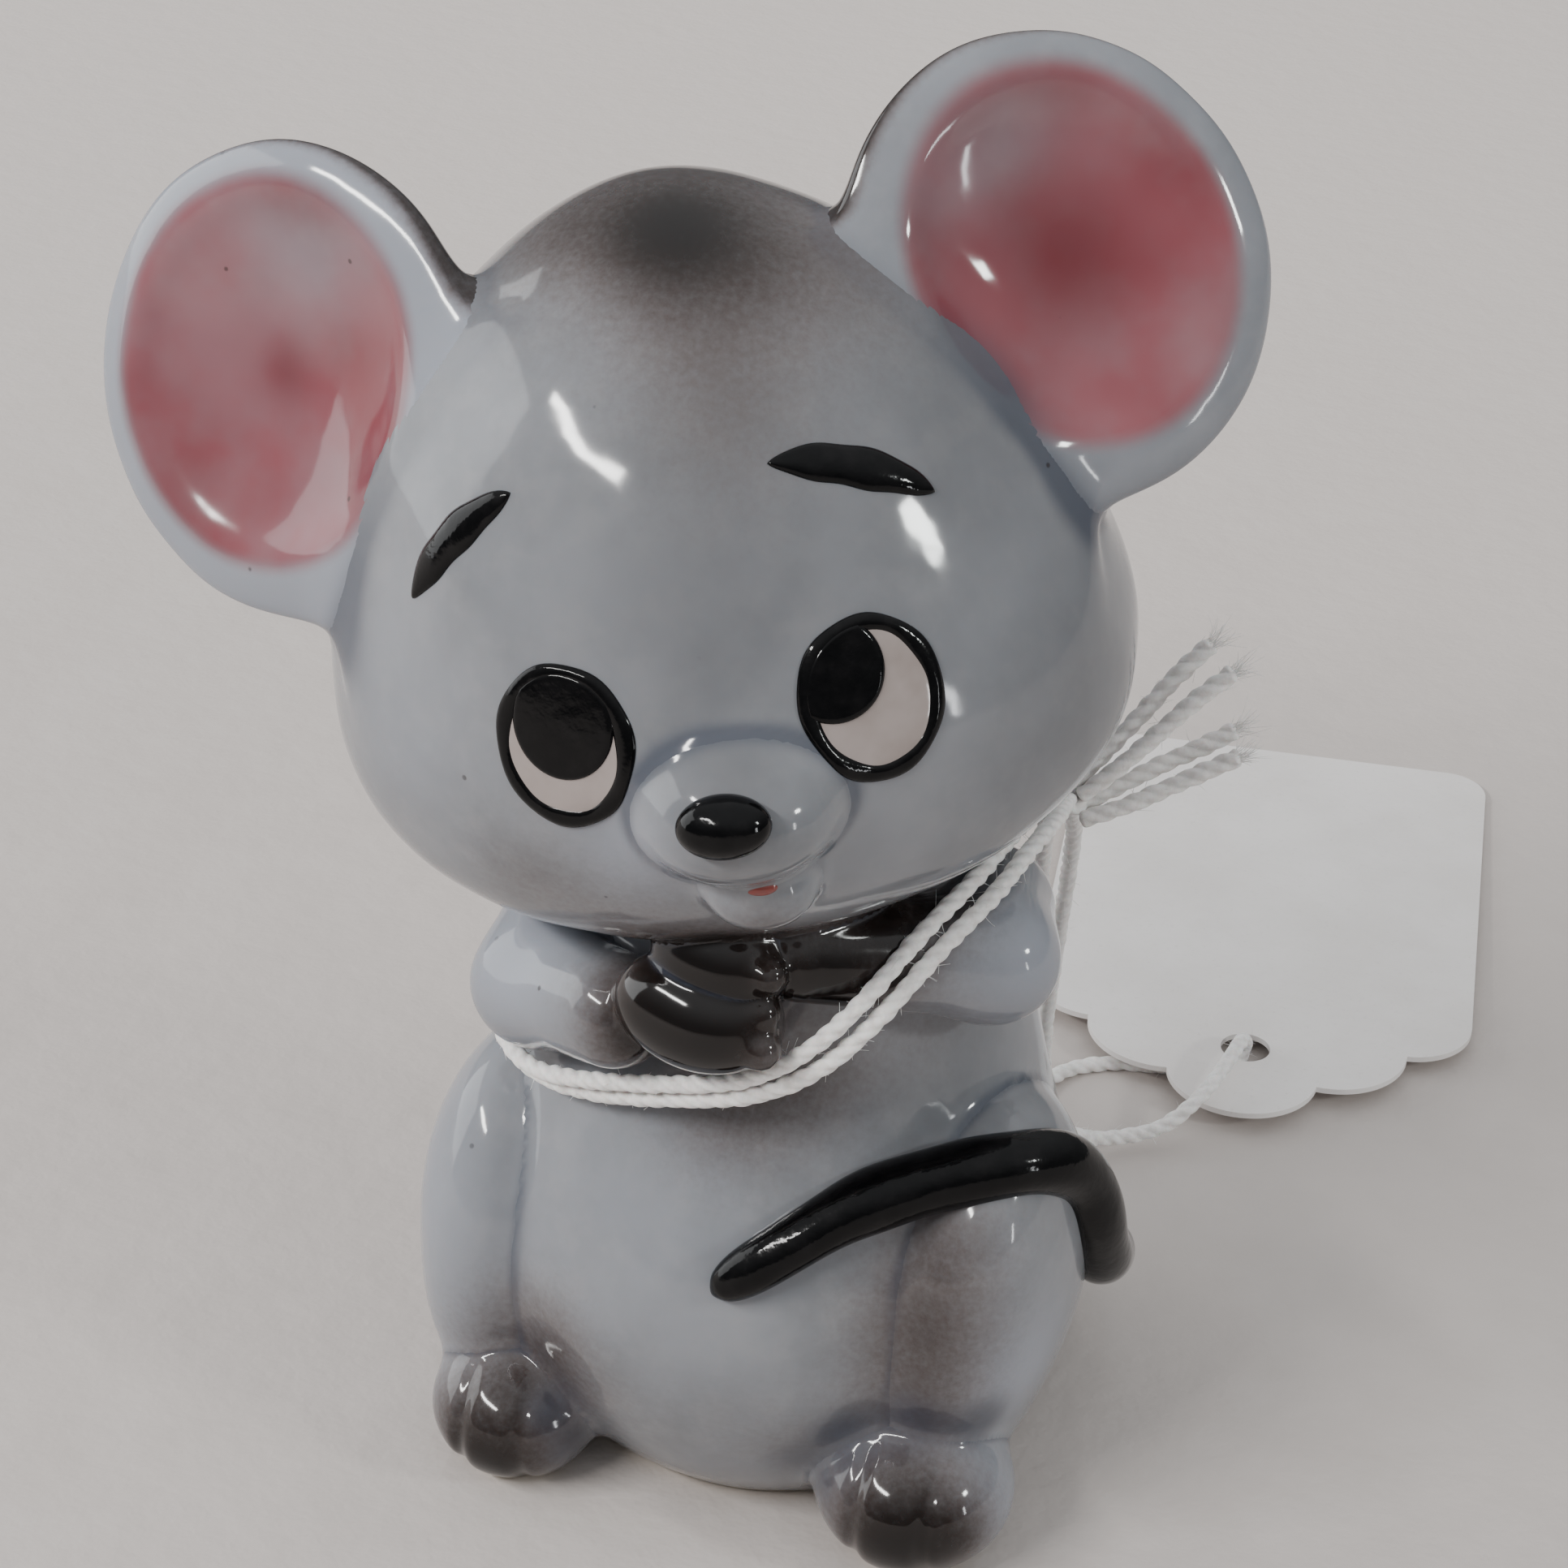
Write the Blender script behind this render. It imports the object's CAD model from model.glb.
import bpy
import numpy as np
from mathutils import Matrix


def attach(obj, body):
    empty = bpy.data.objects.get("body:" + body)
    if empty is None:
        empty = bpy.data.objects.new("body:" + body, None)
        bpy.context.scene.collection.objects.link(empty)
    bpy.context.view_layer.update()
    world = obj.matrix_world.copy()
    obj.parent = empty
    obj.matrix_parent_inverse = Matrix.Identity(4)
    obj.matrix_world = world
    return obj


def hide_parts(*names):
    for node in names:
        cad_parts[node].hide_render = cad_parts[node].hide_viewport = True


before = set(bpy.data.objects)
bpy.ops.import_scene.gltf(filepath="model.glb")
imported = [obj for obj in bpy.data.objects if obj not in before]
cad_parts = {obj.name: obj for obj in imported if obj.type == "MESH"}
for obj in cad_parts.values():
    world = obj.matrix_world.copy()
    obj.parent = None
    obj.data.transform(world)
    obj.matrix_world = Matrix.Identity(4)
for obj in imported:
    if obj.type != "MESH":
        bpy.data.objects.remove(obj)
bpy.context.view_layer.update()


# Camera: it stands before the mouse's left side and above it, tipped by three degrees, with a long lens.
# Lengths are in millimetres unless a line says metres, and turned into metres as a mesh is made.

METRE = 0.001
sensor_width, focal_pixels, frame_pixels = 36.0, 5400.0, 1932.0
view_centre = np.array((-0.8, 0.0, 42.2))
view_turn, view_rise, view_roll = np.radians((18.0, 32.0, 3.0))
view_distance = 250.0


def looking(turn, rise, roll):
    """Unit vectors to a viewer's right, up and back: turned about Z, raised off the floor, then rolled."""
    back = np.array((np.sin(turn) * np.cos(rise), -np.cos(turn) * np.cos(rise), np.sin(rise)))
    level = np.array((np.cos(turn), np.sin(turn), 0.0))
    upright = np.cross(back, level)
    right = np.cos(roll) * level + np.sin(roll) * upright
    return right, np.cross(back, right), back


def placed(name, data, axes, place):
    """An object with the given axes as its columns, at a place in millimetres."""
    obj = bpy.data.objects.new(name, data)
    bpy.context.scene.collection.objects.link(obj)
    turned_to = np.eye(4)
    turned_to[:3, :3] = np.stack(axes, 1)
    turned_to[:3, 3] = np.asarray(place) * METRE
    obj.matrix_world = Matrix(turned_to.tolist())
    return obj


view_axes = looking(view_turn, view_rise, view_roll)
camera_data = bpy.data.cameras.new("camera")
camera_data.sensor_width = sensor_width
camera_data.sensor_fit = "HORIZONTAL"
camera_data.lens = sensor_width * focal_pixels / frame_pixels
camera_data.clip_start = 0.01
camera = placed("camera", camera_data, view_axes, view_centre + view_distance * view_axes[2])
bpy.context.scene.camera = camera


# Cotton thread: two strands tied round the neck, a knot, four frayed ends, and a longer strand to the tag.
# Each is three plies twisted together, so it follows its route as a turning three-lobed section. Loose
# hairs stand off them.

strand_width = 1.06
thread_lay = 3.4
ply_offset, ply_radius = 0.31, 0.68
tip_length, fraying = 0.25, 0.45
# size, rate along the strand and share of the phase of each unevenness
uneven_waves = ((0.035, 1.9, 1), (0.03, 4.3, 2))
# metres, as in the part's source
thread_routes = {
    "neck_thread_outer": (
        (0.0138, 0.0080, 0.0400), (0.0146, 0.0036, 0.0419), (0.0143, -0.0014, 0.0425),
        (0.0137, -0.0059, 0.0420), (0.0120, -0.0103, 0.0407), (0.0100, -0.0142, 0.0380),
        (0.0072, -0.0157, 0.0346), (0.0034, -0.0157, 0.0318), (-0.0014, -0.0150, 0.0299),
        (-0.0066, -0.0138, 0.0279), (-0.0114, -0.0115, 0.0265), (-0.0152, -0.0076, 0.0265),
        (-0.0172, -0.0026, 0.0280), (-0.0172, 0.0034, 0.0298), (-0.0146, 0.0094, 0.0316),
        (-0.0096, 0.0138, 0.0334), (-0.0032, 0.0158, 0.0352), (0.0036, 0.0154, 0.0368),
        (0.0094, 0.0124, 0.0384), (0.0130, 0.0090, 0.0394)),
    "neck_thread_inner": (
        (0.0130, 0.0080, 0.0406), (0.0135, 0.0038, 0.0424), (0.0131, -0.0015, 0.0431),
        (0.0125, -0.0062, 0.0428), (0.0109, -0.0107, 0.0416), (0.0090, -0.0147, 0.0389),
        (0.0062, -0.0160, 0.0355), (0.0026, -0.0159, 0.0327), (-0.0021, -0.0153, 0.0309),
        (-0.0072, -0.0142, 0.0290), (-0.0115, -0.0123, 0.0274), (-0.0150, -0.0086, 0.0275),
        (-0.0165, -0.0025, 0.0291), (-0.0165, 0.0033, 0.0309), (-0.0140, 0.0090, 0.0327),
        (-0.0092, 0.0132, 0.0345), (-0.0031, 0.0151, 0.0363), (0.0034, 0.0147, 0.0379),
        (0.0090, 0.0117, 0.0395), (0.0127, 0.0089, 0.0402)),
    "thread_end_a": (
        (0.0138, 0.0090, 0.0406), (0.0150, 0.0102, 0.0421), (0.0169, 0.0120, 0.0446),
        (0.0186, 0.0134, 0.0472), (0.0201, 0.0142, 0.0489)),
    "thread_end_b": (
        (0.0144, 0.0086, 0.0402), (0.0160, 0.0094, 0.0417), (0.0181, 0.0110, 0.0440),
        (0.0202, 0.0122, 0.0466), (0.0218, 0.0130, 0.0480)),
    "thread_end_c": (
        (0.0144, 0.0092, 0.0394), (0.0161, 0.0104, 0.0402), (0.0182, 0.0120, 0.0414),
        (0.0204, 0.0130, 0.0426), (0.0222, 0.0136, 0.0439)),
    "thread_end_d": (
        (0.0146, 0.0084, 0.0388), (0.0166, 0.0092, 0.0395), (0.0188, 0.0108, 0.0405),
        (0.0210, 0.0118, 0.0418), (0.0228, 0.0124, 0.0429)),
    "tag_thread": (
        (0.0134, 0.0096, 0.0390), (0.0132, 0.0132, 0.0364), (0.0122, 0.0172, 0.0300),
        (0.0110, 0.0204, 0.0210), (0.0102, 0.0224, 0.0116), (0.0106, 0.0244, 0.0054),
        (0.0120, 0.0274, 0.0019), (0.0146, 0.0300, 0.0010), (0.0170, 0.0316, 0.0015),
        (0.0186, 0.0340, 0.0028), (0.0193, 0.0374, 0.0032), (0.01945, 0.0404, 0.0031),
        (0.0195, 0.0420, 0.0026), (0.01955, 0.04275, 0.0017), (0.01945, 0.0425, 0.00082),
        (0.0190, 0.0415, 0.00042), (0.0172, 0.0404, 0.00044), (0.0144, 0.0396, 0.00042),
        (0.0112, 0.0388, 0.00042), (0.0084, 0.0366, 0.0005), (0.0072, 0.0324, 0.0009),
        (0.0074, 0.0274, 0.0024), (0.0082, 0.0234, 0.0064), (0.0090, 0.0208, 0.0134),
        (0.0098, 0.0190, 0.0220), (0.0108, 0.0158, 0.0304), (0.0117, 0.0121, 0.0358),
        (0.0126, 0.0089, 0.0387))}
knot_centre = np.array((13.4, 8.6, 39.8))
knot_size, knot_points = 0.40, 14
route_steps, knot_steps = 36, 24
# hairs in the tuft of each frayed end, and along each millimetre of thread
fray_count, hair_density = 60, 3.2
fray_length, hair_length, hair_radius = 1.9, 0.9, 0.022
hair_rings, hair_sides, hair_taper = 7, 3, 0.6
# how far a tuft starts back from the end, and how its hairs' roots, ways and curls scatter
tuft_back, tuft_spread, tuft_stray, tuft_curl = 0.5, 0.16, 0.22, 0.25
# how far out the other hairs start, how much they lie along the thread, and how they curl
hair_out, hair_lie, hair_curl = 0.3, 1.6, 0.45


def smooth_line(points, steps):
    """The points in metres of a NURBS spline of order 3 whose control points are given in metres."""
    curve = bpy.data.curves.new("route", "CURVE")
    curve.dimensions = "3D"
    curve.resolution_u = steps
    spline = curve.splines.new("NURBS")
    spline.points.add(len(points) - 1)
    spline.points.foreach_set("co", np.c_[np.array(points), np.ones(len(points))].ravel())
    spline.order_u = 3
    spline.use_endpoint_u = True
    holder = bpy.data.objects.new("route", curve)
    mesh = bpy.data.meshes.new_from_object(holder)
    line = np.zeros(len(mesh.vertices) * 3, np.float32)
    mesh.vertices.foreach_get("co", line)
    bpy.data.objects.remove(holder)
    bpy.data.curves.remove(curve)
    bpy.data.meshes.remove(mesh)
    return line.reshape(-1, 3).astype(float)


def unit(vectors):
    """Each vector over its own length."""
    return vectors / np.maximum(np.linalg.norm(vectors, axis=-1, keepdims=True), 1e-9)


def dot(a, b):
    """Sums of products along the last axis, kept as a column."""
    return (a * b).sum(-1, keepdims=True)


def untwisted(line):
    """Tangent and two sides at each point of a line. Any sides are taken first. Each is carried to the
    next point by the smallest turn between the tangents, and the angles left over are taken back."""
    tangent = unit(np.gradient(line, axis=0))
    least = np.eye(3)[np.abs(tangent).argmin(1)]
    side = unit(np.cross(tangent, least))
    swing = np.cross(tangent[:-1], tangent[1:])
    carried = side[:-1] + np.cross(swing, side[:-1])
    carried += np.cross(swing, np.cross(swing, side[:-1])) / (1 + dot(tangent[:-1], tangent[1:]))
    away = np.cross(tangent[1:], carried)
    left_over = np.arctan2(dot(side[1:], away), dot(side[1:], carried))[:, 0]
    angle = -np.concatenate([[0.0], np.cumsum(left_over)])[:, None]
    other = np.cross(tangent, side)
    return tangent, np.cos(angle) * side + np.sin(angle) * other, np.cos(angle) * other - np.sin(angle) * side


def travelled(line):
    """Distance along a line at each of its points."""
    return np.concatenate([[0.0], np.cumsum(np.linalg.norm(np.diff(line, axis=0), axis=1))])


def circle(count):
    """A row of even angles once round."""
    return np.linspace(0, 2 * np.pi, count, endpoint=False)[None, :]


def ringed(line, radius, around):
    """Rings square to a line: point + radius * (cos(angle) * side + sin(angle) * other side)."""
    _, side, other = untwisted(line)
    return line[:, None] + radius[..., None] * (
        np.cos(around)[..., None] * side[:, None] + np.sin(around)[..., None] * other[:, None])


def grid_shell(name, rings, looped=False, values=None):
    """A closed mesh over rows of rings. Each ring runs left-handed about the way the rows go, seen along it
    from behind, so that faces point outwards. Rows end in a fan to their middle, or run into the first."""
    rows, columns = rings.shape[:2]
    number = np.arange(rows * columns).reshape(rows, columns)
    beside = np.roll(number, -1, 1)
    if looped:
        above, above_beside = np.roll(number, -1, 0), np.roll(beside, -1, 0)
        quads = np.stack([number, beside, above_beside, above], -1).reshape(-1, 4)
        fans = np.zeros((0, 3), int)
        points = rings.reshape(-1, 3)
    else:
        quads = np.stack([number[:-1], beside[:-1], beside[1:], number[1:]], -1).reshape(-1, 4)
        middles = np.full(columns, rows * columns)
        fans = np.concatenate([
            np.stack([middles, beside[0], number[0]], -1),
            np.stack([middles + 1, number[-1], beside[-1]], -1)])
        points = np.vstack([rings.reshape(-1, 3), rings[0].mean(0), rings[-1].mean(0)])
        values = {key: np.concatenate([value.ravel(), [value[0].mean(), value[-1].mean()]])
                  for key, value in (values or {}).items()}
    return skin(name, points, quads, fans, values)


def skin(name, points, quads, triangles, values=None):
    """A smooth mesh object from points in millimetres, with its faces and its named values at the points."""
    mesh = bpy.data.meshes.new(name)
    corners = np.concatenate([quads.ravel(), triangles.ravel()]).astype(np.int32)
    starts = np.concatenate([
        np.arange(len(quads)) * 4, len(quads) * 4 + np.arange(len(triangles)) * 3]).astype(np.int32)
    mesh.vertices.add(len(points))
    mesh.vertices.foreach_set("co", (points * METRE).astype(np.float32).ravel())
    mesh.loops.add(len(corners))
    mesh.loops.foreach_set("vertex_index", corners)
    mesh.polygons.add(len(starts))
    mesh.polygons.foreach_set("loop_start", starts)
    mesh.polygons.foreach_set("use_smooth", np.ones(len(starts), bool))
    mesh.update(calc_edges=True)
    for key, value in (values or {}).items():
        mesh.attributes.new(key, "FLOAT", "POINT").data.foreach_set("value", value.astype(np.float32).ravel())
    obj = bpy.data.objects.new(name, mesh)
    bpy.context.scene.collection.objects.link(obj)
    return obj


def plied(name, line, opening=0.0, phase=0.0):
    """A twisted strand about a line: the section is the outline of three circles round the middle, which
    turns once in each lay. Opening moves the plies apart towards the far end, as they do where they fray."""
    along = travelled(line)[:, None]
    length = along[-1, 0]
    around = circle(24)
    ply = (around - 2 * np.pi * along / thread_lay - phase + np.pi / 3) % (2 * np.pi / 3) - np.pi / 3
    apart = ply_offset * (1 + opening * (along / length) ** 2)
    reach = apart * np.cos(ply) + np.sqrt(np.maximum(ply_radius ** 2 - (apart * np.sin(ply)) ** 2, 0) + 0.012)
    uneven = 1 + sum(size * np.sin(along * rate + share * phase) for size, rate, share in uneven_waves)
    tip = np.sqrt(np.clip(1 - (1 - np.minimum(along, length - along) / tip_length).clip(0) ** 2, 0.02, 1))
    rings = ringed(line, strand_width / 2 * reach * uneven * tip, around)
    return grid_shell(name, rings, values={"groove": 1 - reach / reach.max()})


def fibres(name, roots, ways, curls, lengths, radius):
    """Fine hairs: each runs from its root along its way and bends by its curl times the square of the way
    gone. None goes under the floor. It is a three-sided tube that tapers to its tip."""
    gone = np.linspace(0, 1, hair_rings)[None, :, None]
    line = roots[:, None] + lengths[:, None, None] * (ways[:, None] * gone + curls[:, None] * gone ** 2)
    line[..., 2] = np.maximum(line[..., 2], 1.5 * radius)
    tangent = unit(np.gradient(line, axis=1))
    side = unit(np.cross(tangent, np.array((0.31, 0.52, 0.79))))
    other = np.cross(tangent, side)
    turn = circle(hair_sides)[0]
    thick = radius * (1 - hair_taper * gone)[..., None]
    points = line[:, :, None] + thick * (
        np.cos(turn)[:, None] * side[:, :, None] + np.sin(turn)[:, None] * other[:, :, None])
    number = np.arange(points[..., 0].size).reshape(points.shape[:3])
    beside = np.roll(number, -1, 2)
    quads = np.stack([number[:, :-1], beside[:, :-1], beside[:, 1:], number[:, 1:]], -1).reshape(-1, 4)
    tips = np.concatenate([number[:, 0, ::-1], number[:, -1]])
    return skin(name, points.reshape(-1, 3), quads, tips)


def srgb(red, green, blue):
    """A colour on the 0 to 255 scale of a screen as linear light, with full cover."""
    share = np.array((red, green, blue)) / 255
    light = np.where(share <= 0.04045, share / 12.92, ((share + 0.055) / 1.055) ** 2.4)
    return (*light.tolist(), 1.0)


class Recipe:
    """A material made by adding nodes: a value in the sockets is set, and another node's socket is joined."""

    def __init__(self, name):
        self.material = bpy.data.materials.new(name)
        self.material.use_nodes = True
        self.nodes = self.material.node_tree.nodes
        self.links = self.material.node_tree.links
        self.shader = self.nodes["Principled BSDF"]

    def add(self, kind, sockets=(), out=0, **settings):
        made = self.nodes.new("ShaderNode" + kind)
        for key, value in settings.items():
            setattr(made, key, value)
        self.feed(made, dict(sockets))
        return made.outputs[out]

    def feed(self, made, sockets):
        for key, value in sockets.items():
            if isinstance(value, bpy.types.NodeSocket):
                self.links.new(value, made.inputs[key])
            else:
                made.inputs[key].default_value = value

    def place(self):
        return self.add("TexCoord", out=3)

    def value(self, name):
        return self.add("Attribute", attribute_name=name, out=2)

    def noise(self, scale, detail=3.0, rough=0.5):
        return self.add("TexNoise", {
            "Vector": self.place(), "Scale": scale, "Detail": detail, "Roughness": rough})

    def ramp(self, value, low, high, start=0.0, end=1.0):
        return self.add("MapRange", {
            "Value": value, "From Min": low, "From Max": high, "To Min": start, "To Max": end},
            interpolation_type="SMOOTHSTEP")

    def mix(self, share, first, second, how="MIX"):
        made = self.nodes.new("ShaderNodeMix")
        made.data_type = "RGBA"
        made.blend_type = how
        self.feed(made, {0: share, 6: first, 7: second})
        return made.outputs[2]

    def mottled(self, tone, other, noise, low, high, start=0.0, end=1.0):
        """A tone clouded with another where a noise of given scale, detail and roughness is high."""
        return self.mix(self.ramp(self.noise(*noise), low, high, start, end), tone, other)

    def sum(self, first, second, how="ADD", held=True):
        return self.add("Math", {0: first, 1: second}, operation=how, use_clamp=held)

    def bump(self, height, strength, depth):
        return self.add("Bump", {"Height": height, "Strength": strength, "Distance": depth})

    def finish(self, **sockets):
        self.feed(self.shader, {key.replace("_", " "): value for key, value in sockets.items()})
        return self.material


def finished(piece, material, slot, *nodes):
    """Gives a piece its material, its place on the figurine and the nodes that it stands for."""
    piece.data.materials.append(material)
    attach(piece, "figurine")
    if nodes:
        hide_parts(*nodes)
    return piece


cotton = Recipe("cotton_thread")
cotton_tone = cotton.mix(
    cotton.ramp(cotton.value("groove"), 0.03, 0.55), srgb(240, 238, 236), srgb(196, 191, 187))
cotton_tone = cotton.mottled(cotton_tone, srgb(158, 150, 143), (1900, 2.0), 0.35, 0.75, 0.0, 0.3)
cotton_grain = cotton.bump(cotton.noise(9000, 2.0), 0.5, 0.00006)
cotton_thread = cotton.finish(**{
    "Base_Color": cotton_tone, "Roughness": 0.85, "Sheen_Weight": 0.35, "Sheen_Roughness": 0.5,
    "Subsurface_Weight": 0.15, "Subsurface_Scale": 0.0004, "Normal": cotton_grain})

thread_lines = {name: smooth_line(route, route_steps) for name, route in thread_routes.items()}
for order, (name, line) in enumerate(thread_lines.items()):
    strand = plied(name + "_strand", line / METRE, fraying if "end" in name else 0.0, phase=1.3 * order)
    finished(strand, cotton_thread, "cotton_thread", name)

knot_angle = np.linspace(0, 2 * np.pi, knot_points)
knot_route = np.stack([
    np.sin(knot_angle) + 2 * np.sin(2 * knot_angle), np.cos(knot_angle) - 2 * np.cos(2 * knot_angle),
    -1.1 * np.sin(3 * knot_angle)], -1) * knot_size + knot_centre
knot = finished(plied("thread_knot_turns", smooth_line(knot_route * METRE, knot_steps) / METRE),
                cotton_thread, "cotton_thread", "thread_knot")

chance = np.random.default_rng(41)
hairs = []
for name in ("thread_end_a", "thread_end_b", "thread_end_c", "thread_end_d"):
    line = thread_lines[name] / METRE
    way = unit(line[-1] - line[-9])
    many = (fray_count, 3)
    hairs.append((
        line[-1] - tuft_back * way + chance.normal(0, tuft_spread, many),
        unit(way + chance.normal(0, tuft_stray, many)), chance.normal(0, tuft_curl, many),
        fray_length * chance.uniform(0.35, 1.0, fray_count)))
for name, line in thread_lines.items():
    line = line / METRE
    count = int(travelled(line)[-1] * hair_density)
    spot = chance.integers(4, len(line) - 4, count)
    way = unit(chance.normal(0, 1, (count, 3)))
    lying = unit(np.gradient(line, axis=0))[spot] * chance.choice((-1, 1), (count, 1))
    hairs.append((
        line[spot] + hair_out * way, unit(way + hair_lie * lying), chance.normal(0, hair_curl, (count, 3)),
        hair_length * chance.uniform(0.3, 1.0, count)))
fuzz = finished(fibres("thread_fuzz", *map(np.concatenate, zip(*hairs)), hair_radius),
                cotton_thread, "cotton_thread")


# Floor and light: a plain pale sheet of soft foam under pale walls. A long lamp stands high in front on the
# mouse's right, a broad pale wall low beside it, and two small windows on the mouse's left.

floor_half, floor_drop = 900.0, 0.02
floor_tone, floor_shade, floor_far = srgb(198, 190, 186), srgb(184, 176, 171), srgb(226, 216, 210)


def softbox(name, turn, rise, distance, size, power, tone=(1.0, 1.0, 1.0)):
    """A rectangular lamp that faces the mouse from a bearing, a height angle and a distance."""
    lamp = bpy.data.lights.new(name, "AREA")
    lamp.shape = "RECTANGLE"
    lamp.size, lamp.size_y = np.array(size) * METRE
    lamp.energy = power
    lamp.color = tone
    axes = looking(np.radians(turn), np.radians(rise), 0.0)
    return placed(name, lamp, axes, view_centre + distance * axes[2])


floor_corners = np.array(((-1, -1, 0), (1, -1, 0), (1, 1, 0), (-1, 1, 0))) * floor_half - (0, 0, floor_drop)
floor = skin("floor", floor_corners, np.array(((0, 1, 2, 3),)), np.zeros((0, 3), int))
foam = Recipe("floor_foam")
foam_tone = foam.mix(foam.noise(140, 4.0, 0.6), floor_tone, floor_shade)
foam_way = foam.add("SeparateXYZ", {0: foam.place()}, out=1)
foam_tone = foam.mix(foam.ramp(foam_way, -0.03, 0.28, 0.0, 0.9), foam_tone, floor_far)
floor.data.materials.append(foam.finish(
    Base_Color=foam_tone, Roughness=0.75, Normal=foam.bump(foam.noise(420, 3.0, 0.6), 0.25, 0.0006)))

softbox("strip_lamp", -37.0, 39.0, 560.0, (330.0, 30.0), 2.7, (1.0, 0.99, 0.97))
softbox("side_window", 84.0, 26.0, 600.0, (64.0, 54.0), 0.85, (0.96, 1.0, 0.98))
softbox("low_window", 74.0, 5.0, 620.0, (22.0, 120.0), 0.22, (0.96, 0.98, 1.0))
softbox("left_wall", -88.0, 14.0, 700.0, (520.0, 420.0), 2.2, (0.97, 0.99, 1.0))
sky = bpy.data.worlds.new("pale_walls")
sky.use_nodes = True
walls = sky.node_tree
facing = walls.nodes.new("ShaderNodeTexCoord").outputs["Generated"]
height = walls.nodes.new("ShaderNodeSeparateXYZ")
walls.links.new(facing, height.inputs[0])
glow = walls.nodes.new("ShaderNodeMapRange")
glow.interpolation_type = "SMOOTHSTEP"
for key, value in (("From Min", 0.05), ("From Max", 0.95), ("To Min", 0.20), ("To Max", 0.97)):
    glow.inputs[key].default_value = value
walls.links.new(height.outputs["Z"], glow.inputs["Value"])
walls.links.new(glow.outputs[0], walls.nodes["Background"].inputs["Strength"])
walls.nodes["Background"].inputs["Color"].default_value = (0.96, 0.98, 1.0, 1.0)
bpy.context.scene.world = sky


# Body casting: a hollow pear of white clay, poured in a mould, with a flat unglazed foot and a vent hole.
# Its form is a stack of ellipses: x^2 + ratio * (y - shift)^2 less the squared half width at that height.

clay = {}
body_width, body_depth, body_height = 35.2, 34.0, 43.0
body_rows = (
    (0.00, 0.74, 0.70, 0.00), (0.07, 0.86, 0.83, -0.02), (0.21, 0.97, 0.97, -0.05), (0.37, 1.00, 1.00, -0.04),
    (0.56, 0.90, 0.87, 0.01), (0.72, 0.79, 0.76, 0.05), (0.86, 0.71, 0.69, 0.06), (1.00, 0.63, 0.61, 0.06))
foot_edge, foot_round, top_round = 0.7, 0.9, 3.0
vent_radius, vent_depth, vent_back = 2.4, 2.4, 8.5


def fair(stations, values, fine):
    """A natural cubic spline: the second derivatives at the stations solve the usual three-banded system,
    are nought at both ends, and each span is a cubic. Past the ends it goes on straight."""
    gap = np.diff(stations)
    slope = np.diff(values) / gap
    count = len(stations)
    bands = np.eye(count)
    inner = np.arange(1, count - 1)
    bands[inner, inner - 1], bands[inner, inner + 1] = gap[:-1], gap[1:]
    bands[inner, inner] = 2 * (gap[:-1] + gap[1:])
    right = np.zeros(count)
    right[inner] = 6 * np.diff(slope)
    bend = np.linalg.solve(bands, right)
    held = np.clip(fine, stations[0], stations[-1])
    span = np.clip(np.searchsorted(stations, held) - 1, 0, count - 2)
    low, high = held - stations[span], stations[span + 1] - held
    value = (bend[span] * high ** 3 + bend[span + 1] * low ** 3) / (6 * gap[span])
    value += (values[span] / gap[span] - bend[span] * gap[span] / 6) * high
    value += (values[span + 1] / gap[span] - bend[span + 1] * gap[span] / 6) * low
    first = slope[0] - gap[0] * bend[1] / 6
    last = slope[-1] + gap[-1] * bend[-2] / 6
    return value + first * np.minimum(fine - stations[0], 0) + last * np.maximum(fine - stations[-1], 0)


def turned(about_z=0.0, about_x=0.0, about_y=0.0):
    """A turn about Z, then about the turned X, then about the turned Y, as a matrix of columns."""
    z, x, y = np.radians((about_z, about_x, about_y))
    first = np.array(((np.cos(z), -np.sin(z), 0), (np.sin(z), np.cos(z), 0), (0, 0, 1)))
    second = np.array(((1, 0, 0), (0, np.cos(x), -np.sin(x)), (0, np.sin(x), np.cos(x))))
    third = np.array(((np.cos(y), 0, np.sin(y)), (0, 1, 0), (-np.sin(y), 0, np.cos(y))))
    return first @ second @ third


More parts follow.
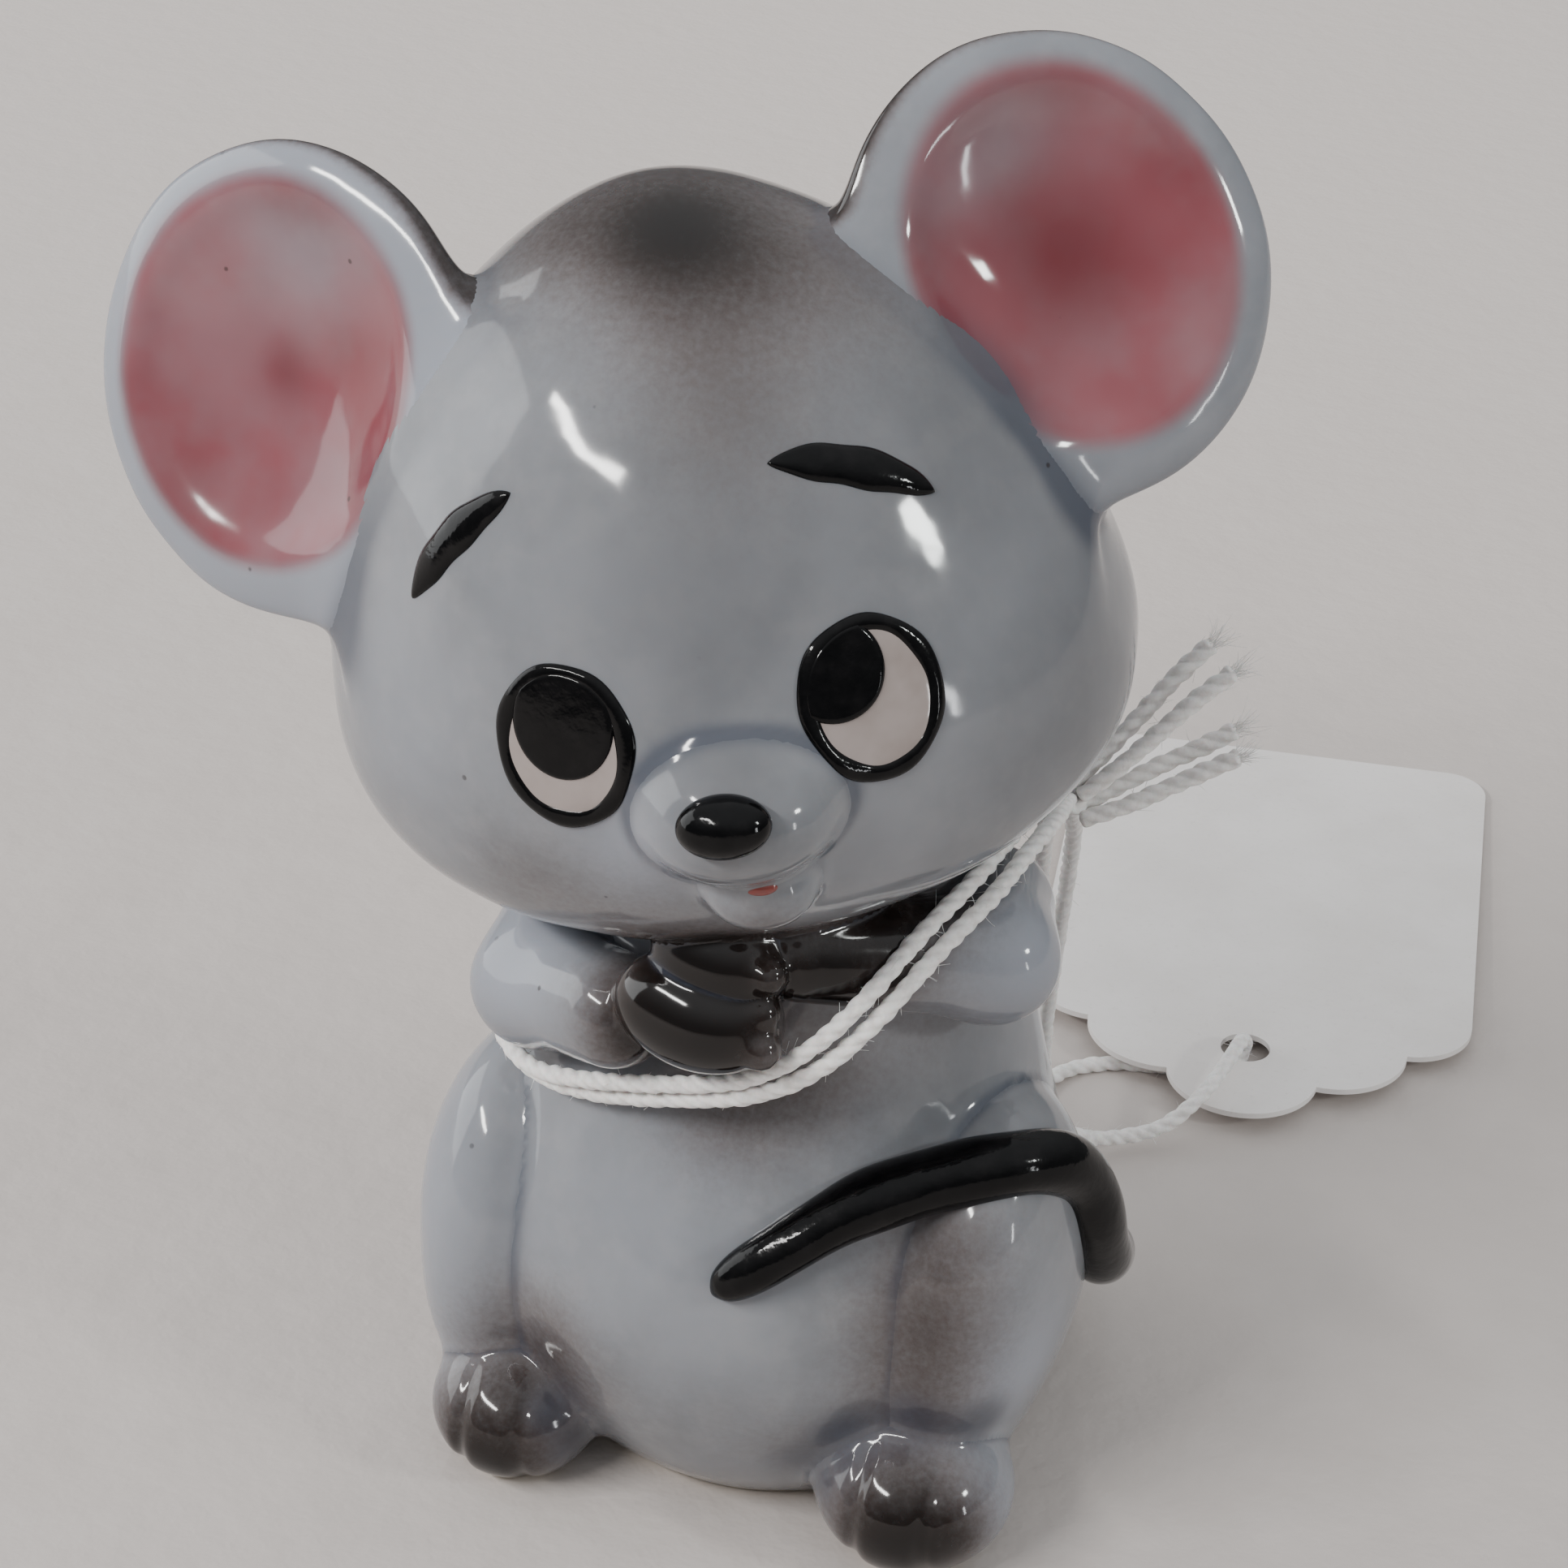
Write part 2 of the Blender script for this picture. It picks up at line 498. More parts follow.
class Stack:
    """Stacked ellipses in a turned frame: the squares of the half widths and the ratio of width to depth
    run smoothly with the height, and the squares fall to nought at closed ends."""

    def __init__(self, rows, width, depth, height, place, turn, open_ends=False):
        rise, wide, deep, shift = np.array(rows).T
        self.place, self.turn, self.height = np.array(place), turn, height
        ends = () if open_ends else (0.0, 1.0)
        self.heights = np.linspace(-0.3, 1.3, 6001) * height
        knots = np.concatenate([ends[:1], rise, ends[1:]]) * height
        squares = np.concatenate([[0.0] * len(ends[:1]), (wide * width / 2) ** 2, [0.0] * len(ends[1:])])
        self.square = fair(knots, squares, self.heights)
        self.ratio = fair(rise * height, (wide * width / (deep * depth)) ** 2, self.heights).clip(0.3, 3)
        self.shift = fair(rise * height, shift * depth / 2, self.heights)
        self.slopes = [np.gradient(row, self.heights) for row in (self.square, self.ratio, self.shift)]

    def rows_at(self, z, *tables):
        return [np.interp(z, self.heights, table) for table in tables]

    def field(self, points):
        """Nearly the distance to the form: twice the level over its slope plus the slope at the skin."""
        x, y, z = ((points - self.place) @ self.turn).T
        square, ratio, shift = self.rows_at(z, self.square, self.ratio, self.shift)
        square_slope, ratio_slope, shift_slope = self.rows_at(z, *self.slopes)
        y = y - shift
        level = x ** 2 + ratio * y ** 2 - square
        slope_z = ratio_slope * y ** 2 - 2 * ratio * y * shift_slope - square_slope
        steep = np.sqrt(4 * x ** 2 + (2 * ratio * y) ** 2 + slope_z ** 2) + 1e-6
        return 2 * level / (steep + np.sqrt(np.maximum(steep ** 2 - 4 * level, 0)))

    def start(self, rows, columns):
        """Rings of the form itself: their heights crowd towards both ends as a cosine does."""
        z = (1 - np.cos(np.linspace(0.012, 1 - 0.012, rows) * np.pi)) / 2 * self.height
        square, ratio, shift = self.rows_at(z, self.square, self.ratio, self.shift)
        half = np.sqrt(np.maximum(square, 1e-4))[:, None]
        around = circle(columns)
        rings = np.stack([
            half * np.cos(around), half / np.sqrt(ratio)[:, None] * np.sin(around) + shift[:, None],
            np.broadcast_to(z[:, None], (rows, columns))], -1)
        return rings @ self.turn.T + self.place


def soft_least(a, b, width):
    """The lesser of two levels, with the corner between them rounded by a cubic over the width."""
    near = np.maximum(width - np.abs(a - b), 0) / width
    return np.minimum(a, b) - near ** 3 * width / 6


def shaped(name, field, start, blend):
    """Keeps a clay form: its level function, its start rings and how wide its joint is smoothed."""
    clay[name] = {"field": field, "start": start, "blend": blend}


body = Stack(body_rows, body_width, body_depth, body_height, (0, 0, 0), np.eye(3), open_ends=True)


def grounded(level, points, edge=0.8):
    """A form cut off at the floor, with its lower edge rounded."""
    return -soft_least(-level, points[:, 2], edge)


def body_level(points):
    """The pear cut off at the floor and under the head, with both edges rounded."""
    return -soft_least(
        -grounded(body.field(points), points, foot_round), body_height - points[:, 2], top_round)


def body_rings():
    """Rings of the casting from the middle of its foot, out over the floor, up the wall and in to the top."""
    rings = body.start(150, 260)
    foot = rings[0] * (1, 1, 0) * np.linspace(0.01, 1, 44, endpoint=False)[:, None, None]
    middle = rings[-1].mean(0)
    lid = middle + (rings[-1] - middle) * (1 - np.linspace(0, 0.97, 16)[1:, None, None])
    return np.concatenate([foot, rings, lid])


shaped("torso", body_level, body_rings, blend=1.5)


# Head casting: a broad hollow dome, tilted and turned to the mouse's left, luted over the neck. It is
# sprayed dark on the crown and behind.

head_width, head_depth, head_height = 44.8, 40.4, 41.7
head_widest = 0.37
head_place = np.array((-0.616, -1.615, 38.4))
head_turn = turned(about_z=12.0, about_y=-12.0)
head_rows = (
    (0.004, 0.18, 0.18, 0), (0.016, 0.34, 0.33, 0), (0.050, 0.55, 0.54, 0), (0.130, 0.83, 0.82, 0),
    (0.250, 0.985, 0.965, 0), (head_widest, 1.00, 1.00, 0), (0.540, 0.91, 0.93, 0),
    (0.720, 0.74, 0.78, 0), (0.870, 0.505, 0.535, 0), (0.960, 0.275, 0.295, 0), (0.992, 0.125, 0.135, 0))
head = Stack(head_rows, head_width, head_depth, head_height, head_place, head_turn)
shaped("head", head.field, lambda: head.start(240, 400), blend=1.6)


def in_head(side, front, rise):
    """A place in millimetres in the head's own frame, brought to the whole's frame."""
    return head_place + head_turn @ np.array((side, front, rise))


class Egg:
    """An egg with three half sizes. Its level is k (k - 1) / m, where k is the length of the place over the
    half sizes and m that of the place over their squares."""

    def __init__(self, centre, halves, turn=np.eye(3), pole=2):
        self.centre, self.halves, self.turn, self.pole = np.array(centre), np.array(halves), turn, pole

    def field(self, points):
        place = (points - self.centre) @ self.turn
        reach = np.linalg.norm(place / self.halves, axis=1)
        return reach * (reach - 1) / np.maximum(np.linalg.norm(place / self.halves ** 2, axis=1), 1e-6)

    def start(self, rows, columns):
        """Rings about the pole's axis, at even angles from one pole to the other."""
        down = np.linspace(0.02, 1 - 0.02, rows)[:, None] * np.pi
        around = circle(columns)
        rings = np.stack([
            np.sin(down) * np.cos(around), np.sin(down) * np.sin(around), -np.cos(down) + 0 * around], -1)
        rings = np.roll(rings, self.pole - 2, -1)
        return (rings * self.halves) @ self.turn.T + self.centre


muzzle = Egg(in_head(3.3, -19.4, 14.95), (5.2, 4.6, 3.8), head_turn, pole=1)
lip = Egg(in_head(3.6, -19.2, 10.0), (3.0, 2.6, 2.2), head_turn)
shaped("muzzle", muzzle.field, lambda: muzzle.start(110, 180), blend=3.6)
shaped("lip", lip.field, lambda: lip.start(60, 100), blend=1.7)


# Ears: two oval dished discs with rolled rims, pressed in a mould and luted to the head. Their dishes are
# brushed pink, and their backs and upper edges sprayed dark.

ear_front, ear_back, ear_middle = 2.2, 3.8, -1.2
# the dish stops this far inside the outline at its sides and ends, and lies this far outwards and up
ear_rim, dish_shift = (1.7, 1.2), (0.7, 0.4)
dish_half, dish_middle, dish_edge = 4.3, 2.4, 1.1
# shares of the half widths, and heights over the disc's own plane
ear_profile = (
    (0.01, -2.2), (0.25, -2.1), (0.47, -1.8), (0.66, -1.2), (0.79, -0.5), (0.86, -0.05), (0.93, -0.3),
    (0.98, -0.7), (1.00, -1.2), (0.98, -2.0), (0.90, -2.9), (0.74, -3.8), (0.53, -4.5), (0.30, -4.9),
    (0.01, -5.0))
# place on the head, turn and tip in degrees, and half widths
ear_spreads = {
    "left": ((21.1, 2.1, 33.8), 26.0, 17.0, (11.5, 12.8)),
    "right": ((-21.6, -2.6, 33.5), -22.0, -12.0, (12.6, 13.0))}
ear_lean = 20.0
# how pale each rim is, and how strong and how wide the deep rose is in each dish
ear_tints = {"left": (0.25, 0.6, 0.42), "right": (0.75, 0.45, 0.16)}


class Ear:
    """An oval disc whose front and back are halves of two eggs, with an egg-shaped dish in its front."""

    def __init__(self, place, turn, spin, halves):
        self.place = in_head(*place)
        self.turn = head_turn @ turned(turn, 90.0 - ear_lean) @ turned(spin)
        self.halves = np.array(halves)
        outwards = np.array(dish_shift) * (np.sign(place[0]), 1)
        hollow_halves = (*(self.halves - ear_rim), dish_half)
        self.hollow = Egg(self.place + self.turn @ (*outwards, dish_middle), hollow_halves, self.turn)
        self.faces = [Egg(self.place + self.turn @ (0, 0, ear_middle), (*halves, thick), self.turn)
                      for thick in (ear_front, ear_back)]

    def off_dish(self, points):
        """How far out a place lies in the dish, as a share of the way to its edge."""
        place = (points - self.hollow.centre) @ self.turn
        return np.linalg.norm(place[:, :2] / self.hollow.halves[:2], axis=1)

    def field(self, points):
        front, back = (face.field(points) for face in self.faces)
        disc = np.where((points - self.place) @ self.turn[:, 2] > ear_middle, front, back)
        return -soft_least(-disc, self.hollow.field(points), dish_edge)

    def start(self):
        """Rings of the profile about the disc's own axis, from the back's middle to the dish's."""
        out, lift = np.array(ear_profile[::-1]).T
        knots = travelled(np.stack([out * self.halves[0], lift], -1))
        fine = np.linspace(0, knots[-1], 150)
        out, lift = fair(knots, out, fine)[:, None], fair(knots, lift, fine)[:, None]
        wide, high = out * self.halves[0], out * self.halves[1]
        around = circle(300)
        rings = np.stack([wide * np.cos(around), high * np.sin(around), lift + 0 * around], -1)
        return rings @ self.turn.T + self.place


ears = {side: Ear(*spread) for side, spread in ear_spreads.items()}
for side, ear in ears.items():
    shaped("ear_" + side, ear.field, ear.start, blend=4.5)


# Haunches and feet: flattened eggs and round pads of clay, luted on while damp and cut flat at the base.
# Two grooves drawn with a tool part the toes of each foot.

haunches = {
    "left": Egg((13.99, -4.0, 13.52), (6.0, 10.0, 14.0), turned(0, 9.0, 8.0)),
    "right": Egg((-13.64, -5.02, 10.98), (6.0, 10.0, 14.0), turned(0, 9.0, -3.0))}
feet = {"left": ((13.29, -11.8), 5.9, 4.8), "right": ((-11.19, -13.4), 5.1, 4.3)}
foot_sink = 0.5
# sides, width and depth of the grooves, and how far in front of the middle they start
groove_places, groove_width, groove_deep, groove_start = (-0.36, 0.36), 0.5, 0.42, 0.35


def foot_level(pad, radius):
    """A pad with toe grooves: each is a trough of bell-shaped section across x, deepest in front."""
    def level(points):
        place = points - pad.centre
        front = np.clip(-place[:, 1] / radius - groove_start, 0, 1) ** 0.5
        troughs = sum(
            np.exp(-((place[:, 0] - share * radius) / groove_width) ** 2) for share in groove_places)
        return grounded(pad.field(points) + groove_deep * front * troughs, points)
    return level


for side, haunch in haunches.items():
    shaped("haunch_" + side, lambda points, haunch=haunch: grounded(haunch.field(points), points),
           lambda haunch=haunch: haunch.start(150, 220), blend=2.5)
for side, ((x, y), radius, half_height) in feet.items():
    pad = Egg((x, y, half_height - foot_sink), (radius, radius, half_height))
    shaped("foot_" + side, foot_level(pad, radius), lambda pad=pad: pad.start(130, 260), blend=1.9)


# Arms and paws: rolls of clay from the shoulders down to two clasped paws, the left one on top. Small round
# fingertips stand out of the paws, and the paws and the left forearm are sprayed dark.

arms = {
    "left": (((11.97, -0.51, 37.44), 3.7), ((13.55, -5.1, 37.44), 3.5), ((4.93, -12.92, 40.13), 2.7)),
    "right": (((-11.26, -2.38, 36.48), 3.7), ((-11.6, -9.86, 31.9), 3.6), ((-5.28, -14.28, 34.56), 3.3))}
paw_right = Egg((0.18, -15.81, 36.9), (4.9, 3.4, 3.4), turned(about_y=4.0), pole=0)
paw_left = Egg((0.97, -14.62, 40.1), (4.0, 3.1, 3.1), pole=0)
fingertips = {
    "paw_right": (((4.3, -17.2, 36.3), 1.15), ((4.0, -16.4, 38.2), 1.0)),
    "paw_left": (((4.2, -16.2, 40.5), 1.0),)}
elbow_blend, tip_blend = 2.5, 1.0
# how far the start rings' line bows out at the elbow, and how they are drawn in at both ends
elbow_bow, drawn_rows, drawn_share = 0.35, 30, 0.98


def arm_level(joints):
    """The least of two round cones, one along each bone, with the elbow between them softened."""
    def level(points):
        spans = []
        for (start, thick), (end, thin) in zip(joints, joints[1:]):
            start, bone = np.array(start), np.array(end) - np.array(start)
            gone = np.clip((points - start) @ bone / (bone @ bone), 0, 1)
            off_bone = np.linalg.norm(points - start - gone[:, None] * bone, axis=1)
            spans.append(off_bone - thick - (thin - thick) * gone)
        return soft_least(*spans, elbow_blend)
    return level


def arm_rings(joints):
    """Rings square to a rounded line through the joints, drawn in to a point at both ends."""
    places, thick = np.array([joint[0] for joint in joints]), np.array([joint[1] for joint in joints])
    share = np.linspace(0, 1, 120)[:, None]
    bowed = places[1] + elbow_bow * (2 * places[1] - places[0] - places[2])
    line = (1 - share) ** 2 * places[0] + 2 * share * (1 - share) * bowed + share ** 2 * places[2]
    way = untwisted(line)[0]
    drawn = np.linspace(drawn_share, 0, drawn_rows)[:-1]
    line = np.concatenate([line[:1] - way[:1] * thick[0] * drawn[:, None], line,
                           line[-1:] + way[-1:] * thick[-1] * drawn[::-1, None]])
    past = np.concatenate([drawn, np.zeros(len(share)), drawn[::-1]])
    wide = np.interp(np.linspace(0, 1, len(line)), (0, 0.5, 1), thick) * np.sqrt(1 - past ** 2)
    return ringed(line, wide[:, None], circle(120))


def paw_level(name, palm):
    """An egg with small round fingertips run into it."""
    def level(points):
        whole = palm.field(points)
        for centre, radius in fingertips[name]:
            whole = soft_least(whole, np.linalg.norm(points - np.array(centre), axis=1) - radius, tip_blend)
        return whole
    return level


for side, joints in arms.items():
    shaped("arm_" + side, arm_level(joints), lambda joints=joints: arm_rings(joints), blend=1.3)
shaped("paw_right", paw_level("paw_right", paw_right), lambda: paw_right.start(100, 160), blend=0.7)
shaped("paw_left", paw_level("paw_left", paw_left), lambda: paw_left.start(100, 160), blend=0.7)


# Luting and glazing: the damp pieces are joined and their joints smoothed with a wet brush, then sprayed,
# brushed and dipped in clear glaze, which pools blue in the hollows. So all of them share one skin.

hand_waves = (
    ((0.61, 0.23, 0.37), 0.3, 0.030), ((-0.29, 0.71, 0.18), 1.9, 0.026), ((0.14, -0.33, 0.66), 4.1, 0.024),
    ((0.92, 0.55, -0.71), 2.2, 0.012), ((-0.83, 0.97, 0.52), 5.0, 0.010))
dive_rate = 0.45
longest_step, slope_bounds = 0.8, (0.35, 3.0)
pool_gain, pool_loss = 5.2, 0.15
neighbours = {
    "torso": ("head", "haunch_left", "haunch_right", "foot_left", "foot_right", "arm_left", "arm_right",
              "paw_right", "paw_left"),
    "head": ("torso", "muzzle", "lip", "ear_left", "ear_right", "arm_left", "arm_right", "paw_left",
             "paw_right"),
    "muzzle": ("head", "lip"), "lip": ("head", "muzzle", "paw_left"),
    "ear_left": ("head",), "ear_right": ("head",),
    "haunch_left": ("torso", "foot_left"), "haunch_right": ("torso", "foot_right"),
    "foot_left": ("torso", "haunch_left"), "foot_right": ("torso", "haunch_right"),
    "arm_left": ("torso", "head", "paw_left", "paw_right"),
    "arm_right": ("torso", "head", "paw_right", "paw_left"),
    "paw_right": ("torso", "head", "arm_right", "arm_left", "paw_left"),
    "paw_left": ("torso", "head", "arm_left", "arm_right", "paw_right", "lip")}
replaced_nodes = {
    "torso": "torso_casting", "head": "head_casting", "muzzle": "head_casting", "lip": "head_casting"}


def skin_levels(points, names):
    """The joined skin's level: the soft least of the named forms in one fixed order, plus the unevenness of
    work by hand, a few slow waves. The forms' own levels come with it."""
    own = {}
    whole = None
    for name, form in clay.items():
        if name in names:
            own[name] = form["field"](points)
            whole = own[name] if whole is None else soft_least(whole, own[name], form["blend"])
    waves = sum(size * np.sin(points @ np.array(way) + shift) for way, shift, size in hand_waves)
    return whole + waves, own


def outward(points, field):
    """Unit vectors along the rise of a level, from differences each side."""
    step = 0.05
    rise = [field(points + step * axis) - field(points - step * axis) for axis in np.eye(3)]
    return unit(np.stack(rise, -1))


def settled(points, ways, level, turns=9):
    """Moves points along their ways to where a level is nought, by the secant rule with bounded steps."""
    moved = np.zeros(len(points))
    here = level(points)
    step = np.clip(-here, -longest_step, longest_step)
    for _ in range(turns):
        there = level(points + (moved + step)[:, None] * ways)
        slope = np.where(np.abs(step) > 1e-5, (there - here) / np.where(np.abs(step) > 1e-5, step, 1), 1.0)
        moved, here = moved + step, there
        step = np.clip(-there / np.clip(slope, *slope_bounds), -longest_step, longest_step)
    return points + (moved + step)[:, None] * ways


def diving(name, names):
    """The skin's level for one piece: where a neighbour lies outside it, it drops below the skin by the
    square of how far the neighbour is ahead, so that the pieces pass under each other without a step."""
    def level(points):
        whole, own = skin_levels(points, names)
        ahead = np.maximum(own[name] - np.min([own[other] for other in names if other != name], axis=0), 0)
        return whole + dive_rate * ahead ** 2 / (1 + dive_rate * ahead)
    return level


def sprayed(points, spots):
    """How much of a colour lies on each point: each spot fades as exp(-(distance / reach)^2), and the
    spots build up together."""
    bare = np.ones(len(points))
    for place, reach, strength in spots:
        bare *= 1 - strength * np.exp(-((points - np.array(place)) ** 2).sum(1) / reach ** 2)
    return 1 - bare


def risen(value, width):
    """Nought below nought, one past the width, and straight between."""
    return np.clip(value / width, 0, 1)


def eased(share):
    """A share from nought to one with level ends: 3 x^2 - 2 x^3."""
    return share ** 2 * (3 - 2 * share)


def ear_values(ear, points):
    """Pink in the dish with a dusty top, brown behind and on the upper inner edge, and how far out in the
    dish a point lies."""
    place = (points - ear.place) @ ear.turn
    x, y, z = place.T
    out = ear.off_dish(points)
    dusty = np.exp(-((x / 6.0) ** 2 + ((y - 7.0) / 3.6) ** 2))
    pink = eased(risen(0.97 - out, 0.12)) * risen(z + 3.4, 0.6) * (1 - 0.45 * dusty)
    rim = np.linalg.norm(place[:, :2] / ear.halves, axis=1)
    inner = -x * np.sign(ear.hollow.centre[0] - head_place[0]) / 12.0
    edge = risen(-0.45 + 0.35 * inner - z, 0.6) * risen(rim - 0.88, 0.08)
    behind = risen(-0.6 - 2.4 * np.sqrt(np.maximum(1 - rim ** 2, 0)) - z, 0.6)
    return pink, np.maximum(edge, behind) * (0.15 + 0.75 * np.clip(y / 9.0 + 0.2, 0, 1)), out


# where a spray was held: place, reach and strength. Crown and back of the head, paws and left forearm,
# chin, belly under the paws, fold of the left haunch, round the feet, and the back
brown_sprays = [
    ((-6.2, -7.0, 79.5), 4.8, 0.88), ((-3.0, -8.0, 78.5), 8.0, 0.48), ((-2.6, -12.3, 75.0), 5.5, 0.22),
    ((-12.6, -6.5, 76.8), 4.5, 0.4), ((2.5, -4.0, 77.0), 6.0, 0.25), ((0.4, -15.3, 71.0), 5.0, 0.22),
    (in_head(0.0, 6.0, 41.0), 10.0, 0.6), (in_head(0.0, 17.0, 33.0), 17.0, 0.5),
    ((0.2, -18.2, 37.4), 5.4, 1.0), ((-0.6, -17.0, 35.6), 5.0, 1.0), ((1.0, -16.0, 40.8), 4.6, 1.0),
    ((6.4, -14.0, 39.9), 3.6, 1.0), ((8.6, -10.6, 41.0), 3.8, 0.95), ((10.8, -6.4, 41.4), 3.4, 0.6),
    (in_head(4.0, -21.4, 9.0), 2.6, 0.4), ((-7.7, -21.4, 46.5), 4.6, 0.36), ((-1.0, -22.0, 45.5), 5.0, 0.22),
    ((1.0, -14.0, 29.0), 5.0, 0.5), ((6.0, -12.0, 31.5), 4.6, 0.5), ((12.0, -8.0, 33.5), 3.6, 0.35),
    ((14.0, -13.0, 23.0), 4.6, 0.5), ((13.8, -14.0, 17.5), 4.8, 0.6), ((13.6, -14.4, 12.8), 4.2, 0.5),
    ((-7.6, -16.2, 12.6), 3.4, 0.36), ((-10.7, -14.6, 12.0), 3.2, 0.25), ((-4.5, -17.1, 9.3), 4.0, 0.2),
    ((3.6, -17.5, 10.0), 5.0, 0.14), ((7.0, -16.5, 7.5), 3.0, 0.2),
    ((-11.3, -17.0, 5.2), 6.0, 0.62), ((-11.3, -18.6, 2.0), 4.4, 0.93), ((-9.0, -15.8, 8.2), 3.6, 0.4),
    ((14.0, -17.6, 3.6), 5.6, 0.93), ((14.6, -17.0, 6.4), 4.6, 0.55), ((17.4, -16.8, 4.0), 2.8, 0.5),
    ((0.0, 18.0, 24.0), 15.0, 0.3)]
pale_sprays = [
    ((-17.5, -7.0, 15.0), 8.0, 1.0), ((-17.6, -18.4, 51.9), 7.0, 0.25), ((-11.9, -12.3, 34.9), 5.5, 0.9),
    ((15.5, -6.0, 38.5), 4.5, 0.8), ((-2.4, -15.5, 21.6), 7.0, 0.2), ((19.0, -10.0, 13.0), 4.5, 0.8),
    (in_head(-2.5, -21.0, 13.0), 3.4, 0.9), ((-16.0, -12.0, 4.0), 3.0, 0.6), ((19.5, -13.0, 5.0), 3.5, 0.6)]
# where the glaze ran together round the feet, and where it ran off the joints so that it pools less
deep_pools = [
    ((13.5, -13.9, 10.6), 2.5, 0.95), ((17.2, -12.2, 10.2), 2.3, 0.9), ((9.8, -15.2, 8.8), 2.4, 0.95),
    ((7.6, -16.2, 6.0), 2.3, 0.95), ((5.8, -16.6, 3.0), 2.2, 0.9), ((-7.6, -16.4, 6.6), 2.0, 0.95),
    ((-6.0, -16.4, 3.2), 2.3, 0.95), ((-9.4, -15.4, 9.2), 1.6, 0.5), ((0.5, -17.0, 0.8), 2.6, 0.4)]
thin_pools = [
    (in_head(3.4, -20.0, 10.5), 6.0, 0.75), (in_head(12.0, -4.0, 36.0), 9.0, 0.6),
    (in_head(-13.0, -6.0, 34.0), 10.0, 0.75), ((-14.0, -9.0, 20.0), 8.0, 0.5),
    ((10.0, -13.0, 16.0), 8.0, 0.4)]
grey_sprays = [
    ((0.4, -15.3, 71.0), 8.0, 0.5), ((0.9, -19.4, 63.8), 6.0, 0.4), ((18.2, -5.7, 56.2), 9.0, 0.5),
    ((8.4, -6.7, 71.5), 8.0, 0.4), (in_head(3.5, -22.0, 18.5), 3.4, 0.6), ((16.0, -6.0, 30.0), 6.0, 0.3)]

glaze = Recipe("grey_glaze")
speck = glaze.noise(2300, 3.0, 0.65)
grey_tone = glaze.mottled(srgb(116, 118, 122), srgb(132, 134, 139), (95, 4.0, 0.55), 0.3, 0.7)
grey_tone = glaze.mottled(grey_tone, srgb(142, 142, 144), (420, 3.0, 0.6), 0.40, 0.75, 0.0, 0.35)
grey_tone = glaze.mix(glaze.value("dusk"), grey_tone, srgb(84, 84, 87))
grey_tone = glaze.mix(glaze.value("pale"), grey_tone, srgb(148, 152, 162))
pink_share = glaze.sum(
    glaze.value("pink"), glaze.ramp(glaze.noise(170, 3.0, 0.55), 0.3, 0.7, 0.74, 1.0), "MULTIPLY")
pink_tone = glaze.mottled(srgb(122, 60, 66), srgb(142, 86, 93), (95, 2.0, 0.45), 0.25, 0.75)
tone = glaze.mix(pink_share, grey_tone, pink_tone)
tone = glaze.mix(glaze.value("rose"), tone, srgb(98, 36, 42))
pool_share = glaze.ramp(glaze.value("pool"), 0.0, 1.0, 0.0, 0.55)
tone = glaze.mix(pool_share, tone, srgb(58, 63, 75))
speckled = glaze.sum(glaze.sum(speck, 0.5, "SUBTRACT", False), 0.30, "MULTIPLY", False)
brown_share = glaze.ramp(glaze.sum(glaze.value("brown"), speckled, held=False), 0.04, 0.92)
brown_tone = glaze.mix(glaze.ramp(glaze.value("brown"), 0.35, 1.0), srgb(78, 62, 56), srgb(15, 11, 10))
tone = glaze.mix(brown_share, tone, brown_tone)
tone = glaze.mix(glaze.ramp(glaze.value("pool"), 0.2, 1.0, 0.0, 0.5), tone, srgb(62, 67, 80))
pin_dots = glaze.add("TexVoronoi", {"Vector": glaze.place(), "Scale": 300.0}, feature="F1")
few = glaze.ramp(glaze.noise(150, 1.0), 0.5, 0.6)
pin_share = glaze.sum(glaze.ramp(pin_dots, 0.03, 0.06, 0.7, 0.0), few, "MULTIPLY")
tone = glaze.mix(pin_share, tone, srgb(36, 28, 25))
bisque = glaze.value("bisque")
tone = glaze.mix(bisque, tone, srgb(178, 168, 142))
gloss = glaze.ramp(bisque, 0.0, 1.0, 0.09, 0.75)
grey_glaze = glaze.finish(
    Base_Color=tone, Roughness=gloss, Specular_IOR_Level=0.42, Subsurface_Weight=0.08,
    Subsurface_Scale=0.0008, Normal=glaze.bump(glaze.noise(240, 2.0), 0.16, 0.00035))

